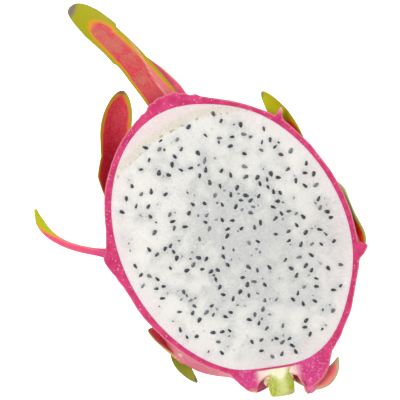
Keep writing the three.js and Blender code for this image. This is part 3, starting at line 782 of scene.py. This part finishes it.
# Scales: leafy tongues of the same skin, red inside and green towards their margins and tips. Each
# is a blade with its root sunk in the rind. Where the knife went through one, it is trimmed level
# with the cut face and shows a cut strip.
SCALE_ROWS, SCALE_AROUND = 110, 64
TRIM_BELOW = 0.1
SCALE_SPINE = [(0, 2.6), (1, 1)]
SCALE_MARGIN_THICKNESS = 0.8
SCALE_TIP_SHARE = 0.12
SCALE_WAVER, SCALE_CURL, SCALE_SQUARENESS = 0.035, 0.5, 0.45
FOLD_WAVER, FOLD_WIDTH, FOLD_RIDGE, FOLD_STEP = 0.02, 0.035, 0.55, 0.3
LIFT_OFF_TABLE = 0.4
SCALE_SHARP_ANGLE = math.radians(60)


def scale_outline(along, scale):
    base = scale.get("base", 1)
    rising = base + (1 - base) * np.sin(along / scale["peak"] * math.pi / 2)
    past = np.clip((along - scale["peak"]) / (1 - scale["peak"]), 0, 1)
    falling = np.maximum(1 - past ** scale["blunt"], SCALE_TIP_SHARE)
    if "round" in scale:
        falling = np.maximum(1 - past ** scale["blunt"], 0) ** scale["round"]
    return np.where(along < scale["peak"], rising, falling)


def bezier(path, along):
    """The curve's points at shares along it, and its direction there."""
    points = np.asarray(path, float)

    def blend(points):
        order = len(points) - 1
        shares = [math.comb(order, i) * along ** i * (1 - along) ** (order - i) for i in range(order + 1)]
        return np.stack(shares, axis=-1) @ points

    return blend(points), unit(blend(points[1:] - points[:-1]))


def scale_piece(scale, seed):
    along = np.linspace(0, 1, SCALE_ROWS)
    middle, ahead = bezier(scale["path"], along)
    faces = np.asarray(scale["face"], float)
    face = faces[0] * (1 - along[:, None]) + faces[1] * along[:, None]
    face = unit(face - ahead * (face * ahead).sum(-1, keepdims=True))
    side = np.cross(ahead, face)
    phase = np.arange(SCALE_AROUND) / SCALE_AROUND * 2 * math.pi
    across, layer = np.cos(phase), np.sin(phase)
    width = scale["width"] * scale_outline(along, scale)
    margin = np.stack([width * 0 + seed * 7.3, along * 30 + seed, width * 0], axis=-1)
    left, right = rough(margin, 5), rough(margin + (40, 0, 0), 5)
    wavy = np.where(across[None] < 0, left[:, None], right[:, None])
    reach = 1 + SCALE_WAVER * wavy * np.abs(across)[None]
    for key, which in (("left", -1), ("right", 1)):
        if key in scale:
            share = np.interp(along, *zip(*scale[key]))[:, None]
            reach = reach * np.where(across[None] * which > 0, share, 1)
    spine = np.interp(along, *zip(*scale.get("spine", SCALE_SPINE)))
    thick = spine[:, None] * (1 - across * across) + SCALE_MARGIN_THICKNESS * across * across
    rounded = np.sign(layer) * np.abs(layer) ** SCALE_SQUARENESS
    rise = scale["cup"] * width[:, None] * (across * across)[None] + thick * rounded / 2
    curl = SCALE_CURL * rough(margin + (0, 0, 20), 9) * np.sin(along * math.pi)
    rise = rise + curl[:, None] * (across ** 3)[None]
    folded, line = thick * 0, thick * 0
    if "crease" in scale:
        way = np.interp(along, *zip(*scale["crease"])) + FOLD_WAVER * rough(margin + (0, 9, 0), 2)
        way = way[:, None]
        past = across - way
        folded = smooth(past, -0.01, 0.03) * (way < 1)
        line = np.exp(-(past / FOLD_WIDTH) ** 2) * (way < 0.98) * (layer > 0)
        rise = rise + FOLD_RIDGE * line + FOLD_STEP * folded
    place = middle[:, None] + side[:, None] * (across * width[:, None] / 2 * reach)[..., None]
    place = place + face[:, None] * rise[..., None]
    table = LIFT_OFF_TABLE - CUT_HEIGHT + np.where(layer > 0, thick, 0)
    place[..., 2] = np.maximum(place[..., 2], table)
    values = {"along": np.broadcast_to(along[:, None], thick.shape),
              "across": np.broadcast_to(across[None], thick.shape),
              "layer": np.broadcast_to(layer[None], thick.shape), "folded": folded, "line": line}
    piece = closed_piece(scale["name"], place, place[0].mean(0), place[-1].mean(0), values)
    trim(piece)
    piece.data.set_sharp_from_angle(angle=SCALE_SHARP_ANGLE)
    return piece


def trim(piece):
    """Cuts a piece off level with the cut face and closes it there."""
    shape = bmesh.new()
    shape.from_mesh(piece.data)
    parts = shape.verts[:] + shape.edges[:] + shape.faces[:]
    level = Vector((0, 0, (CUT_HEIGHT - TRIM_BELOW) * MM))
    cut = bmesh.ops.bisect_plane(shape, geom=parts, plane_co=level, plane_no=(0, 0, 1), clear_outer=True)
    edges = [edge for edge in cut["geom_cut"] if isinstance(edge, bmesh.types.BMEdge)]
    if edges:
        closed = bmesh.ops.edgenet_fill(shape, edges=edges)
        for face in bmesh.ops.triangulate(shape, faces=closed["faces"])["faces"]:
            face.material_index = 1
    shape.to_mesh(piece.data)
    shape.free()


def scale_group():
    """The colour and relief of a scale: red inside, orange and green towards its margins and tip."""
    tree = bpy.data.node_groups.new("scale_look", "ShaderNodeTree")
    for key in LOOK:
        kind = "NodeSocketFloat" if key in ("Margin", "Tip", "Dry") else "NodeSocketColor"
        tree.interface.new_socket(key, in_out="INPUT", socket_type=kind)
    tree.interface.new_socket("Color", in_out="OUTPUT", socket_type="NodeSocketColor")
    tree.interface.new_socket("Height", in_out="OUTPUT", socket_type="NodeSocketFloat")
    paint = Painter(tree)
    inputs = tree.nodes.new("NodeGroupInput").outputs
    given = {key: Shade(paint, inputs[key]) for key in LOOK}
    places = paint.places()
    along, across, layer = (paint.attribute(key) for key in ("along", "across", "layer"))
    soft = paint.cloud(places, 0.16, detail=5, roughness=0.55)
    fine = paint.cloud(places, 2.6, detail=5, roughness=0.65)
    veins = paint.add("CombineXYZ", {0: across * 9.0, 1: along * 5.0})
    veins = paint.cloud(veins, 1.0, detail=6, distortion=0.6)
    edge = 1.0 - abs(across) + (soft - 0.5) * 0.22
    wide = given["Margin"] * paint.ramp(along, 0.05, 0.75, 0.55, 1.6)
    near_margin = paint.calc("SUBTRACT", 1.0, edge / wide, clamp=True)
    tip_way = along + (soft - 0.5) * 0.06 + across * across * 0.14
    near_tip = paint.ramp(tip_way - given["Tip"], -0.09, 0.06)
    green = 1.0 - (1.0 - near_margin) * (1.0 - near_tip)
    mottle = veins * 0.25 + fine * 0.35 + soft * 0.4
    inside = paint.mix(paint.ramp(mottle, 0.42, 0.6), given["Centre"], given["Deep"])
    middle = paint.ramp(edge, 0.4, 0.95) * paint.ramp(soft, 0.4, 0.65, 0.0, 0.55)
    inside = paint.mix(middle, inside, given["Deep"])
    inside = paint.mix(paint.ramp(fine, 0.5, 0.72, 0.0, 0.4), inside, "#E0A29A")
    inside = paint.mix(paint.ramp(along, 0.3, 0.05), inside, given["Root"])
    inside = paint.mix(paint.attribute("folded") * 0.75, inside, "#E08080")
    outside = paint.mix(paint.ramp(veins, 0.4, 0.7, 0.0, 0.5), given["Outside"], "#DB9498")
    flesh = paint.mix(paint.ramp(layer, -0.15, 0.15), outside, inside)
    colour = paint.mix(paint.ramp(green, 0.08, 0.5, 0.0, 0.9), flesh, given["Between"])
    colour = paint.mix(paint.ramp(green, 0.3, 0.8), colour, given["Green"])
    scratch = paint.cloud(paint.stretch(places, (0.5, 1.8, 1.0)), 1.3, detail=2, distortion=2.0)
    colour = paint.mix(paint.ramp(scratch, 0.68, 0.74, 0.0, 0.35), colour, "#E6BFB2")
    colour = paint.mix(paint.attribute("line") * 0.8, colour, "#ECB0A4")
    end = paint.ramp(along + (soft - 0.5) * 0.12 - across * 0.03, 0.945, 0.985)
    rim = paint.ramp(edge + fine * 0.1, 0.1, 0.04) * paint.ramp(along, 0.35, 0.8)
    dry = paint.calc("MAXIMUM", end, rim) * given["Dry"]
    withered = paint.mix(paint.ramp(fine, 0.4, 0.6), "#665C50", "#8C8070")
    colour = paint.mix(dry, colour, withered)
    results = tree.nodes.new("NodeGroupOutput")
    paint.give(colour, results.inputs["Color"])
    paint.give(veins * 0.8 + fine, results.inputs["Height"])
    return tree


def scale_material(name, look, group):
    paint, finish = material(name, roughness=0.45, specular=0.2, subsurface=0.04)
    node = paint.tree.nodes.new("ShaderNodeGroup")
    node.node_tree = group
    for key, value in zip(LOOK, look):
        paint.give(value, node.inputs[key])
    return finish(node.outputs["Color"], node.outputs["Height"], distance=0.0002, strength=0.45)


def cut_strip_material():
    """Where the knife went through a scale: rind pink that turns green towards the tip."""
    paint, finish = material("scale_cut", roughness=0.4, specular=0.25, coat=0.05, subsurface=0.06)
    places = paint.places()
    along, layer = paint.attribute("along"), paint.attribute("layer")
    fine = paint.cloud(places, 2.4, detail=3)
    colour = paint.mix(paint.ramp(along, 0.16, 0.4), "#CC3C78", "#E4487A")
    colour = paint.mix(paint.ramp(fine, 0.5, 0.7, 0.0, 0.35), colour, "#F08AA4")
    upper = paint.ramp(layer, 0.1, 0.7) * paint.ramp(along, 0.15, 0.35)
    colour = paint.mix(upper, colour, "#E67A6C")
    lower = paint.ramp(layer, -0.45, -0.9, 0.0, 0.7) * paint.ramp(along, 0.2, 0.5)
    colour = paint.mix(lower, colour, "#E07A62")
    greened = along + layer * 0.14 + fine * 0.05
    colour = paint.mix(paint.ramp(greened, 0.7, 0.77), colour, "#D99A28")
    colour = paint.mix(paint.ramp(greened, 0.75, 0.84), colour, "#B2B40A")
    return finish(colour, fine, distance=0.0002, strength=0.35)


scale_look = scale_group()
cut_strip = cut_strip_material()
hidden_material = scale_material("scale_hidden", HIDDEN_LOOK, scale_look)
for number, scale in enumerate(SCALES):
    blade = scale_piece(scale, number + 1.0)
    shown = scale["look"] is not HIDDEN_LOOK
    dressed = scale_material(scale["name"], scale["look"], scale_look) if shown else hidden_material
    blade.data.materials.append(dressed)
    blade.data.materials.append(cut_strip)
    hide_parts("rind")


# Stem: a ribbed green stub in the hollow, halved by the cut, with a pale core that widens to the
# wall it grows from and brown dry flakes at its foot.
STEM = {"root": (-3.8, -50, 0), "tip": (-8.45, -65.9, 0), "rib": 0.05, "fine_rib": 0.03,
        "relief": [(0.12, 1.6, 8)], "highest": 0.02}
STEM_PROFILE = [
    (4.6, 5.6), (4.2, 6.6), (3.9, 7.6), (4.1, 8.8), (4.7, 10.2), (5.1, 11.6), (5.2, 13),
    (5.0, 14.4), (4.9, 15.8), (4.3, 16.5), (2.0, 16.8),
]
STEM_ROWS, STEM_AROUND = 46, 48


def stem_piece():
    root, tip = np.array(STEM["root"], float), np.array(STEM["tip"], float)
    way = unit(tip - root)
    side = unit(np.cross(way, (0, 0, 1)))
    radii, stations = np.array(STEM_PROFILE).T
    rings = []
    for row in range(STEM_ROWS):
        along = stations[0] + (stations[-1] - stations[0]) * row / (STEM_ROWS - 1)
        radius = np.interp(along, stations, radii)
        turn = np.arange(STEM_AROUND) / STEM_AROUND * 2 * math.pi
        rib = 1 + STEM["rib"] * np.cos(3 * turn + 1) + STEM["fine_rib"] * np.cos(9 * turn)
        across, down = np.cos(turn) * radius * rib, np.sin(turn) * radius * rib
        place = root + way * along + side * across[:, None] + np.array([0, 0, 1.0]) * down[:, None]
        rings.append(place + relief(place, STEM["relief"])[:, None])
    rings = np.array(rings)
    rings[..., 2] = np.minimum(rings[..., 2], STEM["highest"])
    piece = closed_piece("stem_stub", rings, rings[0].mean(0), rings[-1].mean(0), {})
    piece.data.set_sharp_from_angle(angle=SHARP_ANGLE)
    return piece


def stem_material():
    paint, finish = material("stem", roughness=0.5, specular=0.25, subsurface=0.05)
    places = paint.places()
    x, y, z = (paint.add("SeparateXYZ", {0: places}, out=key) for key in ("X", "Y", "Z"))
    grain = paint.cloud(paint.stretch(places, (1.6, 0.35, 1.0)), 1.4, detail=4)
    soft = paint.cloud(places, 0.5, detail=3)
    colour = paint.mix(paint.ramp(grain, 0.35, 0.65), "#98A41A", "#C8CC6C")
    aside = x + 6.4 - (y + 60.0) * 0.29
    middle = abs(aside)
    heart = paint.ramp(middle, 3.6, 0.6) * paint.ramp(soft, 0.3, 0.6, 0.5, 1.0)
    colour = paint.mix(heart * 0.6, colour, "#DDE09A")
    opening = middle + (-57.0 - y) * 1.1 + (grain - 0.5) * 7.0
    colour = paint.mix(paint.ramp(opening, 5.0, 2.2), colour, "#F1EBC8")
    colour = paint.mix(paint.ramp(aside, 1.0, 5.0, 0.0, 0.75), colour, "#8C9A12")
    end = paint.ramp(y, -64.8, -66.2) * paint.ramp(soft, 0.4, 0.6, 0.4, 1.0)
    colour = paint.mix(end, colour, "#B8A67A")
    below = paint.ramp(z, CUT_HEIGHT - 0.6, CUT_HEIGHT - 3.0, 0.0, 0.6)
    colour = paint.mix(below, colour, "#7C7A2A")
    return finish(colour, grain, distance=0.0003, strength=0.5)


FLAKES = [
    {"name": "stem_flake_1",
     "path": [(-9.8, -56.9, -1), (-11.5, -57.2, -0.8), (-12.9, -58.2, -1), (-12.6, -60.8, -1.6)],
     "width": 2.6, "face": [(0.3, 0.4, 1), (0.5, 0.2, 1)], "base": 0.8, "peak": 0.5, "blunt": 2.4,
     "cup": 0.1},
    {"name": "stem_flake_2",
     "path": [(-3.4, -57.8, -1), (-2.6, -59.2, -0.8), (-2.2, -60.6, -1), (-2.6, -62.4, -1.4)],
     "width": 1.8, "face": [(-0.3, 0.4, 1), (-0.5, 0.2, 1)], "base": 0.8, "peak": 0.5, "blunt": 2.4,
     "cup": 0.1},
]


def flake_material():
    paint, finish = material("stem_flake", roughness=0.7)
    tone = paint.cloud(paint.places(), 0.9, detail=4)
    colour = paint.mix(paint.ramp(tone, 0.35, 0.65), "#B79C7A", "#DCCBAA")
    return finish(colour, tone, distance=0.0002, strength=0.4)


stem = stem_piece()
stem.data.materials.append(stem_material())
stem_parts = [stem]
dry_skin = flake_material()
for number, flake in enumerate(FLAKES):
    blade = scale_piece(flake, 50.0 + number)
    blade.data.materials.append(dry_skin)
    stem_parts.append(blade)
for part in stem_parts:
    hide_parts("stem")


# Floor, light and camera. The photograph looks straight down on the level cut face, with its top
# edge turned a quarter of a right angle and a little more towards the crown's right.
CAMERA_OVER = (-5.7, 19.0)
CAMERA_UP = math.radians(25)
VIEW_WIDTH = 160.0
LENS, SENSOR = 100.0, 36.0

floor_mesh = bpy.data.meshes.new("floor")
shape = bmesh.new()
bmesh.ops.create_grid(shape, x_segments=1, y_segments=1, size=2.0)
shape.to_mesh(floor_mesh)
shape.free()
floor = bpy.data.objects.new("floor", floor_mesh)
bpy.context.scene.collection.objects.link(floor)
white = bpy.data.materials.new("floor")
white.use_nodes = True
paper = white.node_tree.nodes["Principled BSDF"]
paper.inputs["Base Color"].default_value = (0.93, 0.93, 0.93, 1)
paper.inputs["Roughness"].default_value = 0.9
paper.inputs["Emission Color"].default_value = (1, 1, 1, 1)
paper.inputs["Emission Strength"].default_value = 0.7
floor_mesh.materials.append(white)

world = bpy.data.worlds.new("studio")
bpy.context.scene.world = world
world.use_nodes = True
world.node_tree.nodes["Background"].inputs["Color"].default_value = (1, 1, 1, 1)
world.node_tree.nodes["Background"].inputs["Strength"].default_value = 0.72


def softbox(name, place, size, energy):
    light = bpy.data.lights.new(name, "AREA")
    light.size = size
    light.energy = energy
    lamp = bpy.data.objects.new(name, light)
    lamp.location = place
    aim = Vector((-0.005, 0.02, 0.03)) - Vector(place)
    lamp.rotation_euler = aim.to_track_quat("-Z", "Y").to_euler()
    bpy.context.scene.collection.objects.link(lamp)


softbox("key", (-0.45, 0.55, 0.75), 0.5, 4.8)
softbox("fill", (0.6, -0.35, 0.7), 0.8, 2.0)

camera = bpy.data.objects.new("camera", bpy.data.cameras.new("camera"))
camera.data.lens = LENS
camera.data.sensor_width = SENSOR
distance = VIEW_WIDTH / 2 / (SENSOR / 2 / LENS)
up = Vector((math.sin(CAMERA_UP), math.cos(CAMERA_UP), 0))
right = Vector((math.cos(CAMERA_UP), -math.sin(CAMERA_UP), 0))
turned = Matrix((right, up, (0, 0, 1))).transposed().to_4x4()
eye = Vector((CAMERA_OVER[0], CAMERA_OVER[1], CUT_HEIGHT + distance)) * MM
camera.matrix_world = Matrix.Translation(eye) @ turned
camera.data.clip_start = 0.01
bpy.context.scene.collection.objects.link(camera)
bpy.context.scene.camera = camera
bpy.context.scene.view_settings.view_transform = "Standard"
